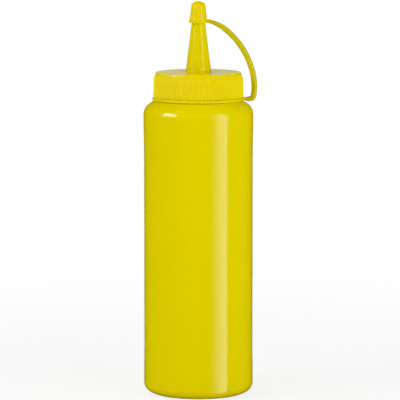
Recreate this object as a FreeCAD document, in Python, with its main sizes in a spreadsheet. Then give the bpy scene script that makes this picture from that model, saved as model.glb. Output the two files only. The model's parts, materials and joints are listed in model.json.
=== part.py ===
import FreeCAD, Part
import math
import os

import Sketcher
from FreeCAD import Placement, Rotation, Vector

# A plastic squeeze bottle for sauces: a blow-moulded bottle, a ribbed screw cap moulded with its
# conical nozzle, and a tether, which is one moulding too: a ring held between the bottle's shoulder
# and the cap's skirt, a tapered strap, and the small cap that closes the nozzle's tip.
# Millimetres and degrees. +Z is up along the bottle's axis, the origin is the middle of the base,
# and the strap arches out towards +X.

# The driving dimensions: name, value and what it measures.
DRIVING = (
    ("wall_radius", 35.2, "bottle wall at its foot"),
    ("shoulder_radius", 35.3, "bottle wall below the shoulder"),
    ("panel_radius", 35, "drawn-in wall between foot and shoulder"),
    ("foot_band", 15, "height where the wall begins to draw in"),
    ("panel_foot", 28, "lower end of the drawn-in wall"),
    ("panel_head", 158, "upper end of the drawn-in wall"),
    ("shoulder_band", 175, "height where the wall is at its full radius again"),
    ("base_round", 5.2, "radius of the corner between heel and wall"),
    ("heel_round", 8.3, "radius of the heel, between the stand and that corner"),
    ("heel_turn", 45, "how far the heel turns up from the floor"),
    ("stand_width", 2.4, "width of the flat ring the bottle stands on"),
    ("recess_depth", 2.2, "height of the recess under the base"),
    ("recess_flank", 4.5, "width of the recess's sloping flank"),
    ("seam_length", 36, "length of the pinched seam under the base"),
    ("seam_width", 1.4, "width of that seam"),
    ("seam_height", 0.7, "height of that seam"),
    ("shoulder_start", 180.3, "height where the wall turns in"),
    ("shoulder_round", 8.8, "radius of the shoulder"),
    ("shoulder_slope", 36, "slope of the shoulder above its round"),
    ("ledge_height", 189.9, "height of the ledge that carries the tether's ring"),
    ("neck_radius", 26, "outside of the neck inside the cap"),
    ("neck_rim_round", 0.7, "round of the neck's rim"),
    ("ring_thickness", 1.8, "height of the tether's ring"),
    ("ring_radius", 29.6, "outside of the tether's ring"),
    ("ring_gap", 0.4, "clearance between the ring and the neck"),
    ("ring_top_round", 0.9, "round of the ring's upper edge"),
    ("ring_foot_round", 0.5, "round of the ring's lower edge"),
    ("skirt_foot_radius", 29.1, "cap's skirt at its foot"),
    ("skirt_head_radius", 28.8, "cap's skirt below the crown"),
    ("skirt_bore_radius", 26.8, "inside of the skirt"),
    ("crown_start", 203.4, "height where the skirt leans in"),
    ("crown_lean", 21, "lean of the crown from the vertical"),
    ("crown_round", 5, "round between skirt and crown"),
    ("cap_top", 207.7, "height of the cap's flat top"),
    ("top_edge_round", 0.7, "round of the flat top's edge"),
    ("plate_thickness", 2, "thickness of the cap's flat top"),
    ("flutes", 96, "number of flutes round the skirt"),
    ("flute_width", 3, "diameter of the tool that cuts the flutes"),
    ("flute_depth", 0.25, "depth of a flute"),
    ("flute_lean", 14, "lean of a flute on the crown, which is steeper than the crown so that it runs out"),
    ("flute_start", 3, "how far below its work the tool starts"),
    ("nozzle_foot_radius", 8.2, "nozzle's cone where it meets the flat top"),
    ("nozzle_tip_radius", 2.9, "nozzle's cone at its tip"),
    ("nozzle_tip_height", 251, "height of the nozzle's tip"),
    ("nozzle_foot_round", 1.5, "fillet between nozzle and flat top"),
    ("nozzle_wall", 1.35, "wall of the nozzle"),
    ("lip_height", 239.2, "height of the tip cap's open end"),
    ("lip_radius", 6.15, "outside of the tip cap's lip"),
    ("lip_edge", 0.7, "thickness of the lip at its edge"),
    ("lip_blend", 1.1, "height of the slope above the lip's edge"),
    ("tip_foot_radius", 5.6, "tip cap's wall above the lip"),
    ("tip_head_radius", 4.35, "tip cap's wall below its dome"),
    ("tip_top", 253, "height of the whole bottle"),
    ("tip_dome_radius", 6.5, "radius of the tip cap's dome"),
    ("tip_round", 1.3, "round between wall and dome"),
    ("socket_gap", 0.06, "clearance between the tip cap and the nozzle's cone"),
    ("strap_root_reach", 5.1, "distance of the strap's root from the axis"),
    ("strap_root_height", 240.55, "height of the strap's root"),
    ("strap_root_heading", 8.3, "slope of the strap where it leaves the tip cap"),
    ("strap_root_width", 2.15, "strap's diameter at its root"),
    ("upper_bend_radius", 24, "strap's first bend"),
    ("upper_bend_turn", 28.5, "angle of the first bend"),
    ("upper_end_width", 3.5, "strap's diameter after it"),
    ("long_bend_radius", 50, "strap's long middle bend"),
    ("long_bend_turn", 46, "angle of the middle bend"),
    ("long_end_width", 3.75, "strap's diameter after it"),
    ("lower_bend_radius", 30, "strap's last wide bend"),
    ("lower_bend_turn", 19.1, "angle of the last wide bend"),
    ("lower_end_width", 3.7, "strap's diameter above the elbow"),
    ("elbow_bend_radius", 2.2, "elbow between strap and arm"),
    ("elbow_bend_turn", 73.9, "angle of the elbow"),
    ("elbow_end_width", 3.3, "arm's diameter at the elbow"),
    ("arm_knee_reach", 30.7, "distance of the arm's narrowing from the axis"),
    ("arm_knee_height", 190.45, "height of the arm's narrowing"),
    ("arm_knee_heading", 180, "slope of the arm there, level and inwards"),
    ("arm_knee_width", 2.65, "diameter of the arm at its narrowing"),
    ("arm_root_reach", 28.9, "distance of the arm's root from the axis"),
    ("arm_root_heading", 180, "slope of the arm at its root"),
    ("arm_root_width", 1.5, "diameter of the arm at its root, in the ring"),
)

# The strap's bends, from the tip cap to the arm.
BENDS = ("upper", "long", "lower", "elbow")

# What follows from the driving dimensions, as formulas of the sheet.
DERIVED = (
    ("on_axis", "0", "the bottle's axis"),
    ("on_floor", "0", "the plane the bottle stands on"),
    ("corner_radius", "wall_radius - base_round * (1 - sin(heel_turn))", "where heel and corner meet"),
    ("corner_height", "heel_round * (1 - cos(heel_turn))", "height of that place"),
    ("corner_top", "corner_height + base_round * cos(heel_turn)", "where corner and wall meet"),
    ("stand_radius", "corner_radius - heel_round * sin(heel_turn)", "outside of the ring it stands on"),
    ("recess_radius", "stand_radius - stand_width", "recess where it meets that ring"),
    ("recess_top_radius", "recess_radius - recess_flank", "recess's flat ceiling"),
    ("shoulder_end_radius", "shoulder_radius - shoulder_round * (1 - sin(shoulder_slope))",
     "end of the shoulder's round"),
    ("shoulder_end", "shoulder_start + shoulder_round * cos(shoulder_slope)", "height of that end"),
    ("ledge_radius", "shoulder_end_radius - (ledge_height - shoulder_end) / tan(shoulder_slope)",
     "outside of the ledge"),
    ("plate_under", "cap_top - plate_thickness", "underside of the cap's top, on the neck's rim"),
    ("ring_top", "ledge_height + ring_thickness", "top of the ring, under the skirt"),
    ("ring_bore_radius", "neck_radius + ring_gap", "inside of the ring"),
    ("crown_radius", "skirt_head_radius - (cap_top - crown_start) * tan(crown_lean)", "edge of the flat top"),
    ("nozzle_taper", "(nozzle_foot_radius - nozzle_tip_radius) / (nozzle_tip_height - cap_top)",
     "slope of the nozzle"),
    ("bore_tip_radius", "nozzle_tip_radius - nozzle_wall", "nozzle's bore at its tip"),
    ("bore_foot_radius", "bore_tip_radius + (nozzle_tip_height - plate_under) * nozzle_taper",
     "nozzle's bore at its foot"),
    ("skirt_draft", "atan((skirt_foot_radius - skirt_head_radius) / (crown_start - ring_top)) / 1deg",
     "lean of the skirt, as a plain number of degrees"),
    ("flute_lift", "flute_width / 2 - flute_depth", "how far outside the surface the tool's axis runs"),
    ("skirt_flute_heading", "-90 - skirt_draft", "slope of the flutes on the skirt, upwards"),
    ("skirt_flute_reach", "skirt_foot_radius + flute_lift + flute_start * tan(skirt_draft)",
     "distance from the axis at which the tool starts"),
    ("skirt_flute_height", "ring_top - flute_start", "height at which it starts"),
    ("skirt_flute_length", "cap_top - skirt_flute_height", "its travel"),
    ("crown_flute_heading", "-90 - flute_lean", "slope of the flutes on the crown, upwards"),
    ("crown_flute_reach", "skirt_head_radius + flute_lift + flute_start * tan(flute_lean)",
     "distance from the axis at which the tool starts for the crown"),
    ("crown_flute_height", "crown_start - flute_start", "height at which it starts for the crown"),
    ("crown_flute_length", "cap_top - crown_flute_height", "its travel there"),
    ("lip_edge_top", "lip_height + lip_edge", "top of the lip's edge"),
    ("lip_blend_top", "lip_edge_top + lip_blend", "top of the slope above the lip"),
    ("socket_foot_radius", "nozzle_tip_radius + (nozzle_tip_height - lip_height) * nozzle_taper + socket_gap",
     "tip cap's socket at its open end"),
    ("socket_head_radius", "nozzle_tip_radius + socket_gap", "tip cap's socket at its closed end"),
    ("dome_rim", "tip_top - tip_dome_radius + sqrt(tip_dome_radius ^ 2 - tip_head_radius ^ 2)",
     "height of the dome's rim"),
    ("arm_root_height", "ledge_height + ring_thickness / 2", "height of the arm's root"),
)


def bend_formulas():
    """The slope and place at the end of each of the strap's bends, from those at its start."""
    rows = []
    start = "strap_root"
    for bend in BENDS:
        end, radius = f"{bend}_end", f"{bend}_bend_radius"
        across = f"sin({end}_heading) - sin({start}_heading)"
        down = f"cos({start}_heading) - cos({end}_heading)"
        rows += [
            (f"{end}_heading", f"{start}_heading + {bend}_bend_turn", "strap's slope after that bend"),
            (f"{end}_reach", f"{start}_reach + {radius} * ({across})", "distance of its end from the axis"),
            (f"{end}_height", f"{start}_height - {radius} * ({down})", "height of its end"),
        ]
        start = end
    return rows


FULL_TURN = 360
QUARTER_TURN = 90
NEAR = 0.01
ALLOWED_CHANGE = 0.2

doc = FreeCAD.newDocument("squeeze_bottle")


def make_sheet():
    """The spreadsheet: a name, a number or formula with that name as alias, and a note on each row."""
    sheet = doc.addObject("Spreadsheet::Sheet", "Sizes")
    rows = [(name, str(value), note) for name, value, note in DRIVING]
    rows += [(name, "=" + formula, note) for name, formula, note in [*DERIVED, *bend_formulas()]]
    for row, (name, content, note) in enumerate(rows, 1):
        sheet.set(f"A{row}", name)
        sheet.set(f"B{row}", content)
        sheet.setAlias(f"B{row}", name)
        sheet.set(f"C{row}", note)
    doc.recompute()
    return sheet


sizes = make_sheet()


def size(name):
    """The present value of a named cell."""
    return float(sizes.get(name))


def bind(item, path, name):
    """Tie a property of an object to a named cell."""
    item.setExpression(path, f"Sizes.{name}")


def origin_part(body, role):
    """One of a body's own origin planes or axes."""
    return next(item for item in body.Origin.OriginFeatures if item.Role == role)


def new_sketch(body, name, role):
    """An empty sketch on an origin plane of its body."""
    sketch = body.newObject("Sketcher::SketchObject", name)
    sketch.AttachmentSupport = (origin_part(body, role), [""])
    sketch.MapMode = "FlatFace"
    return sketch


def pin(sketch, piece, end, across, up):
    """Hold one end of a sketched piece at a place given by two named cells."""
    for kind, axis, name in (("DistanceX", -2, across), ("DistanceY", -1, up)):
        if abs(size(name)) < NEAR:
            sketch.addConstraint(Sketcher.Constraint("PointOnObject", piece, end, axis))
        else:
            number = sketch.addConstraint(Sketcher.Constraint(kind, -1, 1, piece, end, size(name)))
            bind(sketch, f"Constraints[{number}]", name)


def arc_between(start, end, radius):
    """The shorter arc from start to end. A positive radius turns left on the way, a negative one right."""
    middle = (start + end) / 2
    chord = end - start
    rise = math.sqrt(radius**2 - (chord.Length / 2) ** 2)
    left = Vector(-chord.y, chord.x, 0).normalize()
    centre = middle + left * (rise if radius > 0 else -rise)
    first, last = (start, end) if radius > 0 else (end, start)
    angles = [math.atan2(point.y - centre.y, point.x - centre.x) for point in (first, last)]
    circle = Part.Circle(centre, Vector(0, 0, 1), abs(radius))
    return Part.ArcOfCircle(circle, *angles)


def draw(sketch, corners, closed=True):
    """Sketch a chain through corners, each (across cell, up cell) with, where the way on to the next
    corner is an arc, the name of its radius and "left" or "right" for the side it turns to."""
    points = [Vector(size(corner[0]), size(corner[1]), 0) for corner in corners]
    count = len(corners) if closed else len(corners) - 1
    ends = []
    for index in range(count):
        start, end = points[index], points[(index + 1) % len(points)]
        corner = corners[index]
        if len(corner) == 2:
            piece = sketch.addGeometry(Part.LineSegment(start, end), False)
            ends.append((piece, 1, 2))
            continue
        turns_left = corner[3] == "left"
        radius = size(corner[2]) if turns_left else -size(corner[2])
        piece = sketch.addGeometry(arc_between(start, end, radius), False)
        ends.append((piece, 1, 2) if turns_left else (piece, 2, 1))
    for index, (piece, first, _) in enumerate(ends):
        if index or closed:
            before, _, last = ends[index - 1]
            sketch.addConstraint(Sketcher.Constraint("Coincident", before, last, piece, first))
        pin(sketch, piece, first, *corners[index][:2])
    if not closed:
        piece, _, last = ends[-1]
        pin(sketch, piece, last, *corners[-1][:2])
    for corner, (piece, _, _) in zip(corners, ends):
        if len(corner) > 2:
            number = sketch.addConstraint(Sketcher.Constraint("Radius", piece, size(corner[2])))
            bind(sketch, f"Constraints[{number}]", corner[2])
    return sketch


def revolve(body, name, corners):
    """Turn a closed outline, drawn in the plane of the strap, round the bottle's axis."""
    outline = draw(new_sketch(body, f"{name}_outline", "XZ_Plane"), corners)
    turned = body.newObject("PartDesign::Revolution", name)
    turned.Profile = outline
    turned.ReferenceAxis = (outline, ["V_Axis"])
    turned.Angle = FULL_TURN
    doc.recompute()
    return turned


def rims(feature, across, up):
    """The names of the circular edges round the axis at a named radius and height."""
    found = []
    for number, edge in enumerate(feature.Shape.Edges, 1):
        if edge.Degenerated or not isinstance(edge.Curve, Part.Circle):
            continue
        curve = edge.Curve
        if abs(curve.Radius - size(across)) < NEAR and abs(curve.Center.z - size(up)) < NEAR:
            found.append(f"Edge{number}")
    return found


def round_rim(body, feature, name, across, up, radius):
    """Round the circular edge at a named radius and height."""
    fillet = body.newObject("PartDesign::Fillet", name)
    fillet.Base = (feature, rims(feature, across, up))
    bind(fillet, "Radius", radius)
    doc.recompute()
    return fillet


def place_across(section, body, place):
    """Stand a sketch square to a run in the strap's plane, at the named place and the run's heading there."""
    section.AttachmentSupport = (origin_part(body, "XY_Plane"), [""])
    section.MapMode = "FlatFace"
    heading = f"{place}_heading"
    turn = Rotation(Vector(0, 1, 0), QUARTER_TURN + size(heading))
    section.AttachmentOffset = Placement(Vector(size(f"{place}_reach"), 0, size(f"{place}_height")), turn)
    bind(section, ".AttachmentOffset.Base.x", f"{place}_reach")
    bind(section, ".AttachmentOffset.Base.z", f"{place}_height")
    section.setExpression(".AttachmentOffset.Rotation.Angle", f"{QUARTER_TURN} + Sizes.{heading}")


def round_section(body, place, width):
    """A circle of the named diameter, square to the run at the named place."""
    section = body.newObject("Sketcher::SketchObject", f"{place}_section")
    place_across(section, body, place)
    circle = section.addGeometry(Part.Circle(Vector(), Vector(0, 0, 1), size(width) / 2), False)
    section.addConstraint(Sketcher.Constraint("Coincident", circle, 3, -1, 1))
    number = section.addConstraint(Sketcher.Constraint("Diameter", circle, size(width)))
    bind(section, f"Constraints[{number}]", width)
    return section


def make_bottle():
    """The bottle: a round wall, drawn in a little between foot and shoulder, a recessed base and the neck."""
    body = doc.addObject("PartDesign::Body", "bottle")
    shell = revolve(body, "wall", (
        ("on_axis", "recess_depth"),
        ("recess_top_radius", "recess_depth"),
        ("recess_radius", "on_floor"),
        ("stand_radius", "on_floor", "heel_round", "left"),
        ("corner_radius", "corner_height", "base_round", "left"),
        ("wall_radius", "corner_top"),
        ("wall_radius", "foot_band"),
        ("panel_radius", "panel_foot"),
        ("panel_radius", "panel_head"),
        ("shoulder_radius", "shoulder_band"),
        ("shoulder_radius", "shoulder_start", "shoulder_round", "left"),
        ("shoulder_end_radius", "shoulder_end"),
        ("ledge_radius", "ledge_height"),
        ("neck_radius", "ledge_height"),
        ("neck_radius", "plate_under"),
        ("on_axis", "plate_under"),
    ))
    rounded = round_rim(body, shell, "neck_rim", "neck_radius", "plate_under", "neck_rim_round")
    seam_sketch = new_sketch(body, "seam_outline", "XY_Plane")
    bind(seam_sketch, ".AttachmentOffset.Base.z", "recess_depth")
    half_length, half_width = size("seam_length") / 2, size("seam_width") / 2
    add_rectangle(seam_sketch, half_length, half_width)
    seam = body.newObject("PartDesign::Pad", "pinched_seam")
    seam.Profile = seam_sketch
    seam.Reversed = True
    bind(seam, "Length", "seam_height")
    doc.recompute()
    check_change(rounded, seam, size("seam_length") * size("seam_width") * size("seam_height"))
    return body


def add_rectangle(sketch, half_length, half_width):
    """A rectangle about the sketch's origin, bound to the seam's length and width."""
    signs = ((-1, -1), (1, -1), (1, 1), (-1, 1))
    corners = [Vector(along * half_length, across * half_width, 0) for along, across in signs]
    for index, corner in enumerate(corners):
        sketch.addGeometry(Part.LineSegment(corner, corners[(index + 1) % 4]), False)
    for side in range(4):
        onward = (side + 1) % 4
        sketch.addConstraint(Sketcher.Constraint("Coincident", side, 2, onward, 1))
        sketch.addConstraint(Sketcher.Constraint("Vertical" if side % 2 else "Horizontal", side))
    sketch.addConstraint(Sketcher.Constraint("Symmetric", 0, 1, 1, 2, -1, 1))
    for kind, side, name in (("DistanceX", 0, "seam_length"), ("DistanceY", 1, "seam_width")):
        number = sketch.addConstraint(Sketcher.Constraint(kind, side, 1, side, 2, size(name)))
        bind(sketch, f"Constraints[{number}]", name)


def check_change(before, after, expected):
    """Stop if a feature changed the volume by much more or less than it should."""
    change = after.Shape.Volume - before.Shape.Volume
    if abs(change - expected) > ALLOWED_CHANGE * abs(expected):
        raise RuntimeError(f"{after.Name} changed the volume by {change:.2f} instead of {expected:.2f}")


def make_cap():
    """The screw cap: a skirt with fine upright flutes, a flat top and the hollow conical nozzle."""
    body = doc.addObject("PartDesign::Body", "screw_cap")
    moulding = revolve(body, "skirt_and_nozzle", (
        ("skirt_bore_radius", "ring_top"),
        ("skirt_foot_radius", "ring_top"),
        ("skirt_head_radius", "crown_start"),
        ("crown_radius", "cap_top"),
        ("nozzle_foot_radius", "cap_top"),
        ("nozzle_tip_radius", "nozzle_tip_height"),
        ("bore_tip_radius", "nozzle_tip_height"),
        ("bore_foot_radius", "plate_under"),
        ("skirt_bore_radius", "plate_under"),
    ))
    rounded = round_rim(body, moulding, "nozzle_foot", "nozzle_foot_radius", "cap_top", "nozzle_foot_round")
    rounded = round_rim(body, rounded, "crown_break", "skirt_head_radius", "crown_start", "crown_round")
    rounded = round_rim(body, rounded, "top_edge", "crown_radius", "cap_top", "top_edge_round")

    for place in ("skirt_flute", "crown_flute"):
        rounded = cut_flutes(body, rounded, place)
    return body


def cut_flutes(body, before, place):
    """Straight cuts of a round tool, which skim the surface from the named place upwards, all round the cap."""
    flute = body.newObject("PartDesign::Pocket", place)
    flute.Profile = round_section(body, place, "flute_width")
    flute.Reversed = True
    bind(flute, "Length", f"{place}_length")
    doc.recompute()
    one_cut = before.Shape.Volume - flute.Shape.Volume
    if one_cut <= 0:
        raise RuntimeError(f"the {place} cuts nothing")
    ring = body.newObject("PartDesign::PolarPattern", f"{place}s")
    ring.Originals = [flute]
    ring.Axis = (origin_part(body, "Z_Axis"), [""])
    ring.Angle = FULL_TURN
    bind(ring, "Occurrences", "flutes")
    body.Tip = ring
    doc.recompute()
    check_change(before, ring, -one_cut * size("flutes"))
    return ring


def make_ring(body):
    """The tether's ring, clamped between the shoulder's ledge and the skirt."""
    ring = revolve(body, "ring", (
        ("ring_bore_radius", "ledge_height"),
        ("ring_radius", "ledge_height"),
        ("ring_radius", "ring_top"),
        ("ring_bore_radius", "ring_top"),
    ))
    rounded = round_rim(body, ring, "ring_top_edge", "ring_radius", "ring_top", "ring_top_round")
    return round_rim(body, rounded, "ring_foot_edge", "ring_radius", "ledge_height", "ring_foot_round")


def sweep(body, bend, start, end, sections):
    """One bend of the strap: a round section carried along an arc while it changes its width."""
    path = draw(new_sketch(body, f"{bend}_path", "XZ_Plane"), (
        (f"{start}_reach", f"{start}_height", f"{bend}_bend_radius", "right"),
        (f"{end}_reach", f"{end}_height"),
    ), closed=False)
    doc.recompute()
    strap = body.newObject("PartDesign::AdditivePipe", f"{bend}_bend")
    strap.Profile = sections[start]
    strap.Spine = (path, ["Edge1"])
    strap.Transformation = "Multisection"
    strap.Sections = [(sections[end], [""])]
    doc.recompute()


def make_strap(body):
    """The strap, which swells over its bends from the tip cap to the elbow, and the arm in to the ring."""
    ends = [f"{bend}_end" for bend in BENDS]
    places = ["strap_root", *ends, "arm_knee", "arm_root"]
    sections = {place: round_section(body, place, f"{place}_width") for place in places}
    doc.recompute()
    for bend, start, end in zip(BENDS, places, ends):
        sweep(body, bend, start, end, sections)
    arm = body.newObject("PartDesign::AdditiveLoft", "arm")
    arm.Profile = sections["elbow_end"]
    arm.Sections = [(sections[place], [""]) for place in ("arm_knee", "arm_root")]
    doc.recompute()


def make_tip_cap(body):
    """The tip cap: a lip, a tapered wall, a domed top, and a socket that fits the nozzle's cone."""
    tip = revolve(body, "tip_cap", (
        ("socket_foot_radius", "lip_height"),
        ("lip_radius", "lip_height"),
        ("lip_radius", "lip_edge_top"),
        ("tip_foot_radius", "lip_blend_top"),
        ("tip_head_radius", "dome_rim", "tip_dome_radius", "left"),
        ("on_axis", "tip_top"),
        ("on_axis", "nozzle_tip_height"),
        ("socket_head_radius", "nozzle_tip_height"),
    ))
    return round_rim(body, tip, "dome_edge", "tip_head_radius", "dome_rim", "tip_round")


def make_tether():
    """The tether: ring, tapered strap with its arm, and tip cap, all one moulding."""
    body = doc.addObject("PartDesign::Body", "tether")
    make_ring(body)
    make_strap(body)
    body.Tip = make_tip_cap(body)
    doc.recompute()
    return body


def check_document():
    """Stop if any object failed to build."""
    for item in doc.Objects:
        if {"Invalid", "Error"} & set(item.State):
            raise RuntimeError(f"{item.Label} is {item.State}")


def check_shape(body):
    """Stop unless a body is one valid closed solid."""
    shape = body.Shape
    if shape.isNull() or not shape.isValid() or len(shape.Solids) != 1:
        raise RuntimeError(f"{body.Label} isn't one valid solid")
    box = shape.BoundBox
    millilitres = shape.Volume / 1000
    print(f"{body.Label}: {millilitres:.2f} ml, {len(shape.Faces)} faces, z {box.ZMin:.2f} to {box.ZMax:.2f}")


bodies = [make_bottle(), make_cap(), make_tether()]
check_document()
for body in bodies:
    check_shape(body)
os.makedirs("parts", exist_ok=True)
for body in bodies:
    body.Shape.exportStep(f"parts/{body.Label}.step")
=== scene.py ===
import json
import math

import bpy
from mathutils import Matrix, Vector


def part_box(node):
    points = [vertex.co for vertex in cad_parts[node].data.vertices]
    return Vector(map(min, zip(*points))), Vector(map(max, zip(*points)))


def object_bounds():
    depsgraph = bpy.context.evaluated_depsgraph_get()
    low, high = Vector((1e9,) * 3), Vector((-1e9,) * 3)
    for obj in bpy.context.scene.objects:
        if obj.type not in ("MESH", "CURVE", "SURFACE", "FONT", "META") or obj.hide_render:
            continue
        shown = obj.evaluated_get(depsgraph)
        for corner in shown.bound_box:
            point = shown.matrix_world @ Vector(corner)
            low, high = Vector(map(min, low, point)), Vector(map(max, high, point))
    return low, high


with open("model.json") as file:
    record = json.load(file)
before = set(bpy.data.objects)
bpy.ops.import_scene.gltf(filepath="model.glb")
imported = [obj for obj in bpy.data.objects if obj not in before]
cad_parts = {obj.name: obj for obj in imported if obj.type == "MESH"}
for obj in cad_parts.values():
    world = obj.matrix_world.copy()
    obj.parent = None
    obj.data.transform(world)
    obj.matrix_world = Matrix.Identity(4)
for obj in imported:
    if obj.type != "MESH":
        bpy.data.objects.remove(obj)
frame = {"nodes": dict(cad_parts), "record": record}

CAD_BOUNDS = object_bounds()

# The squeeze bottle: the three pieces of the CAD model get their plastic, and a studio is built round them.
# Lengths are in metres, apart from the lens and the sensor, which are in millimetres.

# ---------------------------------------------------------------- camera
CAMERA_DISTANCE = 1.85
CAMERA_RISE = 0.3587
CAMERA_SIDE = 0.00103
CAMERA_TILT = math.radians(7.2)
CAMERA_LENS = 260.4
CAMERA_SENSOR = 36.0

# ---------------------------------------------------------------- studio
WORLD_STRENGTH = 0.41
FLOOR_HALF = 6.0
FLOOR_TONE = 0.75
SHADOW_NEAR = 0.12   # up to this far from the axis the floor shows most of its shadow
SHADOW_FAR = 0.6     # from here on it is plain white
SHADOW_WHITE = 0.8   # share of plain white where it shows most of its shadow

# ---------------------------------------------------------------- plastic
FLOW_SCALE = 30.0
FLOW_DETAIL = 3.0
FLOW_DARKEST = 0.97
GRAIN_SCALE = 900.0
GRAIN_ROUGHNESS = 0.02
GRAIN_STRENGTH = 0.05
GRAIN_HEIGHT = 0.0001
REFRACTIVE_INDEX = 1.5
SUBSURFACE_RADIUS = (1.0, 0.9, 0.3)

WALL_TONE = (0.745, 0.632, 0.0003)
SKIRT_TONE = (0.775, 0.612, 0.0003)
# Painted shade: the cap's upper part gets this tone, darker than the skirt of the same moulding.
CROWN_SHADE_TONE = (0.725, 0.605, 0.0003)
RING_TONE = (0.75, 0.615, 0.0003)
# Painted shade: the strap gets this tone, darker than the ring of the same moulding.
STRAP_SHADE_TONE = (0.565, 0.487, 0.004)

# Where one finish or painted shade passes into another, and over what length it does.
MATT_HEIGHT = 0.0143       # the matt skirt's upper end, above the cap's foot
MATT_BLEND = 0.0006
CROWN_HEIGHT = 0.0165      # the crown tone, painted shade, starts here, above the cap's foot
CROWN_BLEND = 0.004
STRAP_REACH = 0.0055       # the strap leaves the tip cap this far from the axis
STRAP_BLEND = 0.003
RING_CLEARANCE = 0.003     # above this height over the ring's foot it is the strap
ARM_REACH = 0.029          # and so is all that is further out than this
ARM_BLEND = 0.002


# ---------------------------------------------------------------- nodes

def new_tree(name):
    """An empty material, and its nodes and links."""
    material = bpy.data.materials.new(name)
    material.use_nodes = True
    material.node_tree.nodes.clear()
    return material, material.node_tree.nodes, material.node_tree.links


def between(nodes, links, value, low_edge, high_edge, at_low, at_high):
    """A level that goes smoothly from one number to another as the value passes from edge to edge."""
    step = nodes.new("ShaderNodeMapRange")
    step.interpolation_type = "SMOOTHSTEP"
    step.inputs["From Min"].default_value = low_edge
    step.inputs["From Max"].default_value = high_edge
    step.inputs["To Min"].default_value = at_low
    step.inputs["To Max"].default_value = at_high
    links.new(value, step.inputs["Value"])
    return step.outputs["Result"]


def rising(nodes, links, value, start, blend):
    """A factor that goes from 0 to 1 over the blend's length from the start."""
    return between(nodes, links, value, start, start + blend, 0.0, 1.0)


def combine(nodes, links, operation, first, second):
    """One number made from two, each of them a number or a socket."""
    node = nodes.new("ShaderNodeMath")
    node.operation = operation
    for socket, value in zip(node.inputs, (first, second)):
        if isinstance(value, float):
            socket.default_value = value
        else:
            links.new(value, socket)
    return node.outputs[0]


def two_tones(nodes, links, factor, first, second):
    """A colour that goes from the first to the second with the factor; each is a tone or a socket."""
    node = nodes.new("ShaderNodeMix")
    node.data_type = "RGBA"
    for socket, tone in ((node.inputs["A"], first), (node.inputs["B"], second)):
        if isinstance(tone, tuple):
            socket.default_value = (*tone, 1.0)
        else:
            links.new(tone, socket)
    links.new(factor, node.inputs["Factor"])
    return node.outputs["Result"]


# ---------------------------------------------------------------- finishes and painted shade

def plastic(name, tone, specular, depth, roughness, matt_below=None, upper=None, strap=None):
    """Moulded plastic: close tones that flow into each other, fine grain, a soft gloss and some depth.

    roughness is one number, or with matt_below the matt and the smooth one on either side of that height.
    upper holds a darker tone, painted shade on the cap's upper part, and the height where it starts.
    strap holds a darker tone, painted shade on the strap, and the height over which a piece beside the tip
    cap is strap.
    """
    material, nodes, links = new_tree(name)
    output = nodes.new("ShaderNodeOutputMaterial")
    shader = nodes.new("ShaderNodeBsdfPrincipled")
    links.new(shader.outputs["BSDF"], output.inputs["Surface"])
    place = nodes.new("ShaderNodeTexCoord")
    parts = nodes.new("ShaderNodeSeparateXYZ")
    links.new(place.outputs["Object"], parts.inputs["Vector"])

    flow = nodes.new("ShaderNodeTexNoise")
    flow.inputs["Scale"].default_value = FLOW_SCALE
    flow.inputs["Detail"].default_value = FLOW_DETAIL
    links.new(place.outputs["Object"], flow.inputs["Vector"])
    darkest = tuple(FLOW_DARKEST * part for part in tone)
    colour = two_tones(nodes, links, flow.outputs["Fac"], darkest, tone)
    # Painted shade: a darker tone from the given height up.
    if upper:
        upper_shade_tone, upper_height = upper
        factor = rising(nodes, links, parts.outputs["Z"], upper_height, CROWN_BLEND)
        colour = two_tones(nodes, links, factor, colour, upper_shade_tone)
    # Painted shade: a darker tone on the strap, and on the arm beside the ring.
    if strap:
        strap_shade_tone, over_ring = strap
        past_tip = rising(nodes, links, parts.outputs["X"], STRAP_REACH, STRAP_BLEND)
        above_ring = rising(nodes, links, parts.outputs["Z"], over_ring, ARM_BLEND)
        over = combine(nodes, links, "MULTIPLY", past_tip, above_ring)
        beside = rising(nodes, links, parts.outputs["X"], ARM_REACH, ARM_BLEND)
        factor = combine(nodes, links, "MAXIMUM", over, beside)
        colour = two_tones(nodes, links, factor, colour, strap_shade_tone)
    links.new(colour, shader.inputs["Base Color"])

    grain = nodes.new("ShaderNodeTexNoise")
    grain.inputs["Scale"].default_value = GRAIN_SCALE
    links.new(place.outputs["Object"], grain.inputs["Vector"])
    spread = between(nodes, links, grain.outputs["Fac"], 0.0, 1.0, -GRAIN_ROUGHNESS, GRAIN_ROUGHNESS)
    level = roughness
    if matt_below:
        matt, smooth = roughness
        level = between(nodes, links, parts.outputs["Z"], matt_below, matt_below + MATT_BLEND, matt, smooth)
    links.new(combine(nodes, links, "ADD", spread, level), shader.inputs["Roughness"])
    relief = nodes.new("ShaderNodeBump")
    relief.inputs["Strength"].default_value = GRAIN_STRENGTH
    relief.inputs["Distance"].default_value = GRAIN_HEIGHT
    links.new(grain.outputs["Fac"], relief.inputs["Height"])
    links.new(relief.outputs["Normal"], shader.inputs["Normal"])
    shader.inputs["IOR"].default_value = REFRACTIVE_INDEX
    shader.inputs["Specular IOR Level"].default_value = specular
    shader.inputs["Subsurface Weight"].default_value = 1.0
    shader.inputs["Subsurface Radius"].default_value = SUBSURFACE_RADIUS
    shader.inputs["Subsurface Scale"].default_value = depth
    return material


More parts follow.
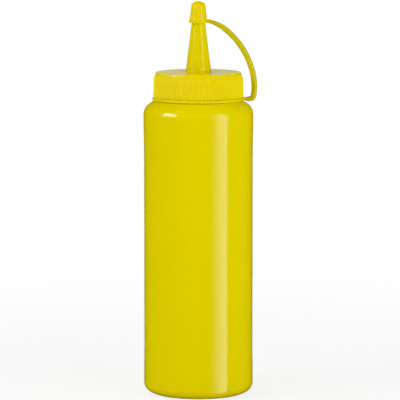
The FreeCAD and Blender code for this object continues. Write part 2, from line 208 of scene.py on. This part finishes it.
def floor_paper():
    """Pale paper that the camera sees as plain white, but for a faint shadow near the object."""
    material, nodes, links = new_tree("floor_paper")
    output = nodes.new("ShaderNodeOutputMaterial")
    paper = nodes.new("ShaderNodeBsdfDiffuse")
    paper.inputs["Color"].default_value = (FLOOR_TONE, FLOOR_TONE, FLOOR_TONE, 1.0)
    glow = nodes.new("ShaderNodeEmission")
    path = nodes.new("ShaderNodeLightPath")
    seen = combine(nodes, links, "MAXIMUM", path.outputs["Is Camera Ray"], path.outputs["Is Glossy Ray"])
    seen = combine(nodes, links, "MAXIMUM", seen, path.outputs["Is Transmission Ray"])
    place = nodes.new("ShaderNodeTexCoord")
    away = nodes.new("ShaderNodeVectorMath")
    away.operation = "LENGTH"
    links.new(place.outputs["Object"], away.inputs[0])
    share = between(nodes, links, away.outputs["Value"], SHADOW_NEAR, SHADOW_FAR, SHADOW_WHITE, 1.0)
    choice = nodes.new("ShaderNodeMixShader")
    links.new(combine(nodes, links, "MULTIPLY", seen, share), choice.inputs["Fac"])
    links.new(paper.outputs["BSDF"], choice.inputs[1])
    links.new(glow.outputs["Emission"], choice.inputs[2])
    links.new(choice.outputs["Shader"], output.inputs["Surface"])
    return material


def glowing(name):
    """A card's material, its nodes and links, and the socket for how bright it is."""
    material, nodes, links = new_tree(name)
    output = nodes.new("ShaderNodeOutputMaterial")
    glow = nodes.new("ShaderNodeEmission")
    links.new(glow.outputs["Emission"], output.inputs["Surface"])
    material.cycles.emission_sampling = "NONE"
    return material, nodes, links, glow.inputs["Strength"]


def fading_glow(name, bright, full_at, fade_from):
    """A card's light: it rises from the left edge to full at full_at, and fades out above fade_from."""
    material, nodes, links, strength = glowing(name)
    place = nodes.new("ShaderNodeTexCoord")
    parts = nodes.new("ShaderNodeSeparateXYZ")
    links.new(place.outputs["Generated"], parts.inputs["Vector"])
    across = between(nodes, links, parts.outputs["X"], 0.0, full_at, 0.0, bright)
    upward = between(nodes, links, parts.outputs["Z"], fade_from, 1.0, 1.0, 0.0)
    links.new(combine(nodes, links, "MULTIPLY", across, upward), strength)
    return material


def even_glow(name, bright):
    """A card's light that is the same all over."""
    material, _, _, strength = glowing(name)
    strength.default_value = bright
    return material


# ---------------------------------------------------------------- camera, stage, lamps

def add_camera():
    """A long lens from a little above the bottle's top, tilted down."""
    data = bpy.data.cameras.new("camera")
    data.lens = CAMERA_LENS
    data.sensor_width = CAMERA_SENSOR
    camera = bpy.data.objects.new("camera", data)
    bpy.context.scene.collection.objects.link(camera)
    camera.location = (CAMERA_SIDE, -CAMERA_DISTANCE, CAMERA_RISE)
    camera.rotation_euler = (math.pi / 2 - CAMERA_TILT, 0.0, 0.0)
    bpy.context.scene.camera = camera


def direction(azimuth, elevation):
    """A unit vector out from the object: azimuth 0 is towards the camera and 90 to the camera's right."""
    turn, rise = math.radians(azimuth), math.radians(elevation)
    return Vector((math.sin(turn) * math.cos(rise), -math.cos(turn) * math.cos(rise), math.sin(rise)))


def add_lamp(name, target, azimuth, elevation, distance, width, height, radiance, glossy=False):
    """A softbox that faces the target. Only a glossy one shows in the plastic's gloss."""
    data = bpy.data.lights.new(name, "AREA")
    data.shape = "RECTANGLE"
    data.size = width
    data.size_y = height
    data.energy = radiance * math.pi * width * height
    lamp = bpy.data.objects.new(name, data)
    bpy.context.scene.collection.objects.link(lamp)
    away = direction(azimuth, elevation)
    lamp.location = target + distance * away
    lamp.rotation_mode = "QUATERNION"
    lamp.rotation_quaternion = away.to_track_quat("Z", "Y")
    lamp.visible_camera = False
    lamp.visible_glossy = glossy


def add_sheet(name, corners, material):
    """A flat sheet with four corners."""
    mesh = bpy.data.meshes.new(name)
    mesh.from_pydata(corners, [], [(0, 1, 2, 3)])
    mesh.materials.append(material)
    sheet = bpy.data.objects.new(name, mesh)
    bpy.context.scene.collection.objects.link(sheet)
    return sheet


def add_card(name, material, azimuth, distance, width, bottom, top):
    """An upright card that only the gloss of the plastic shows."""
    half = width / 2
    corners = [(-half, 0, bottom), (half, 0, bottom), (half, 0, top), (-half, 0, top)]
    card = add_sheet(name, corners, material)
    card.location = distance * direction(azimuth, 0.0)
    card.rotation_euler = (0, 0, math.radians(azimuth))
    card.visible_camera = False
    card.visible_diffuse = False
    card.visible_transmission = False
    card.visible_shadow = False


def add_floor():
    """The floor, which the gloss of the plastic doesn't show."""
    half = FLOOR_HALF
    corners = [(-half, -half, 0), (half, -half, 0), (half, half, 0), (-half, half, 0)]
    floor = add_sheet("floor", corners, floor_paper())
    floor.visible_glossy = False


def add_world():
    """An even light from all round. The camera sees it as plain white, and the gloss doesn't show it."""
    world = bpy.data.worlds.new("studio")
    bpy.context.scene.world = world
    world.use_nodes = True
    nodes, links = world.node_tree.nodes, world.node_tree.links
    path = nodes.new("ShaderNodeLightPath")
    level = nodes.new("ShaderNodeMapRange")
    level.inputs["To Min"].default_value = WORLD_STRENGTH
    level.inputs["To Max"].default_value = 1.0
    links.new(path.outputs["Is Camera Ray"], level.inputs["Value"])
    nodes["Background"].inputs["Color"].default_value = (1.0, 1.0, 1.0, 1.0)
    links.new(level.outputs["Result"], nodes["Background"].inputs["Strength"])
    world.cycles_visibility.glossy = False


add_camera()
add_floor()
add_world()

middle = (CAD_BOUNDS[0] + CAD_BOUNDS[1]) / 2
add_lamp("left_softbox", middle, azimuth=-65.0, elevation=23.0, distance=2.0,
         width=1.04, height=0.62, radiance=8.0, glossy=True)
add_lamp("top_fill", middle, azimuth=-60.0, elevation=50.0, distance=1.2,
         width=0.8, height=0.8, radiance=0.65)
add_lamp("right_softbox", middle, azimuth=43.0, elevation=15.0, distance=1.1,
         width=0.85, height=1.0, radiance=3.05)
add_lamp("left_back_fill", middle, azimuth=-140.0, elevation=5.0, distance=1.2,
         width=0.9, height=0.9, radiance=0.95)
add_lamp("right_back_fill", middle, azimuth=140.0, elevation=5.0, distance=1.2,
         width=0.9, height=0.9, radiance=0.8)
add_lamp("back_fill", middle, azimuth=-165.0, elevation=45.0, distance=1.4,
         width=0.9, height=0.9, radiance=1.8)

# The cards stand for the right softbox and the backdrop, as the gloss shows them.
add_card("right_card", fading_glow("right_glow", bright=3.0, full_at=0.9, fade_from=0.795),
         azimuth=43.0, distance=1.2, width=0.85, bottom=-1.0, top=1.2)
add_card("back_card", even_glow("back_glow", bright=0.5),
         azimuth=180.0, distance=2.6, width=1.0, bottom=-0.3, top=1.2)

# ---------------------------------------------------------------- the three pieces

cap_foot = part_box("screw_cap")[0][2]
ring_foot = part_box("tether")[0][2]
# The cap's upper part and the tether's strap carry painted shade in darker tones.
finishes_and_shades = {
    "bottle": plastic("bottle_finish", WALL_TONE, specular=0.5, depth=0.001, roughness=0.14),
    "screw_cap": plastic("cap_finish_and_shade", SKIRT_TONE, specular=0.3, depth=0.003, roughness=(0.65, 0.16),
                         matt_below=cap_foot + MATT_HEIGHT, upper=(CROWN_SHADE_TONE, cap_foot + CROWN_HEIGHT)),
    "tether": plastic("tether_finish_and_strap_shade", RING_TONE, specular=0.3, depth=0.001, roughness=0.2,
                      strap=(STRAP_SHADE_TONE, ring_foot + RING_CLEARANCE)),
}
for part in frame["record"]["subparts"]:
    item = frame["nodes"][part["node"]]
    item.data.materials.clear()
    item.data.materials.append(finishes_and_shades[part["node"]])

bpy.context.scene.view_settings.view_transform = "Standard"
